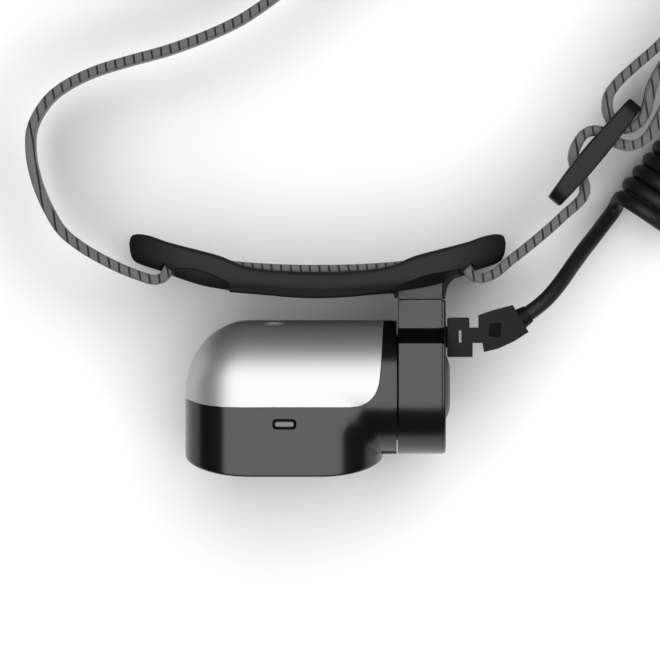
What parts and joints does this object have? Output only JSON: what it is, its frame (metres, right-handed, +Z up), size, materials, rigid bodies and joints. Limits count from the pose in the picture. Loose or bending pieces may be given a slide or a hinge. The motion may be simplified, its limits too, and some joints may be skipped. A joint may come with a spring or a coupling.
{
  "type": "headlamp",
  "caption": "Headlamp on an adjustable webbing headband: a tilting lamp head on a curved forehead bracket, a curly cable and a battery pack at the rear of the band.",
  "frame": {"origin": "middle of the forehead bracket's lower edge, at the middle of its plate's thickness", "axes": "+Z up, -Y where the lamp shines, +X towards the cable side of the lamp, so the headband runs back towards +Y"},
  "size_m": [0.1663, 0.1576, 0.0448],
  "materials": {
    "rubbery_black": "soft-touch black moulding",
    "gloss_black": "semi-gloss black moulding",
    "satin_silver": "satin bare metal",
    "webbing": "grey webbing with thin dark slanted lines",
    "cable_black": "matte black cable jacket",
    "window_grey": "grey translucent window in a black rim",
    "clear": "clear polished cover",
    "mirror_coat": "vacuum-coated reflector",
    "steel": "plain steel",
    "board_green": "solder-masked board",
    "phosphor": "yellow phosphor",
    "seal_grey": "soft grey seal",
    "cell_grey": "plain grey cell sleeve"
  },
  "bodies": {
    "headband": {"forehead_bracket": "rubbery_black", "bracket_front_plate": "rubbery_black", "hinge_arm": "gloss_black", "arm_side_cover": "gloss_black", "arm_screw_lower": "steel", "arm_screw_upper": "steel", "friction_washer": "steel", "wave_spring": "steel", "switch_board": "board_green", "cable_clamp": "gloss_black", "cable_boot": "cable_black", "strap_behind_bracket": "webbing", "strap_left": "webbing", "strap_right": "webbing", "strap_return": "webbing", "strap_anchor_loop": "webbing", "slider_buckle": "rubbery_black", "rear_cradle": "rubbery_black", "battery_case": "gloss_black", "door_hinge_pin": "steel", "door_seal": "seal_grey", "cell_1": "cell_grey", "cell_2": "cell_grey", "cell_3": "cell_grey", "contact_spring_1": "steel", "contact_spring_2": "steel", "contact_spring_3": "steel", "contact_board": "board_green", "cable_socket": "gloss_black", "cable_lead": "cable_black", "cable_coil": "cable_black", "cable_tail": "cable_black", "cable_plug": "cable_black"},
    "lamp": {"lamp_rear_shell": "satin_silver", "lamp_front_housing": "gloss_black", "indicator_window": "window_grey", "lens_cover": "clear", "lens_seal": "seal_grey", "spot_reflector": "mirror_coat", "flood_reflector": "mirror_coat", "spot_led": "phosphor", "flood_led": "phosphor", "led_board": "board_green", "driver_board": "board_green", "housing_screw_1": "steel", "housing_screw_2": "steel", "housing_screw_3": "steel", "housing_screw_4": "steel", "hinge_axle": "steel", "axle_nut": "steel"},
    "button": {"power_button": "gloss_black"},
    "battery_door": {"battery_door": "gloss_black"},
    "door_latch": {"door_latch": "rubbery_black"}
  },
  "joints": [
    {"name": "lamp_tilt", "type": "hinge", "parent": "headband", "child": "lamp", "pos_m": [0, -0.0205, 0.0224], "axis": [1, 0, 0], "range_deg": [0, 70]},
    {"name": "button_press", "type": "slide", "parent": "headband", "child": "button", "axis": [-1, 0, 0], "range_m": [0, 0.0007], "stiffness_N_per_m": 600, "springref_m": -0.001},
    {"name": "door_swing", "type": "hinge", "parent": "headband", "child": "battery_door", "pos_m": [0.062, 0.1167, 0.0395], "axis": [1, 0, 0], "range_deg": [0, 110]},
    {"name": "latch_slide", "type": "slide", "parent": "battery_door", "child": "door_latch", "axis": [0, 0, 1], "range_m": [0, 0.003]}
  ]
}
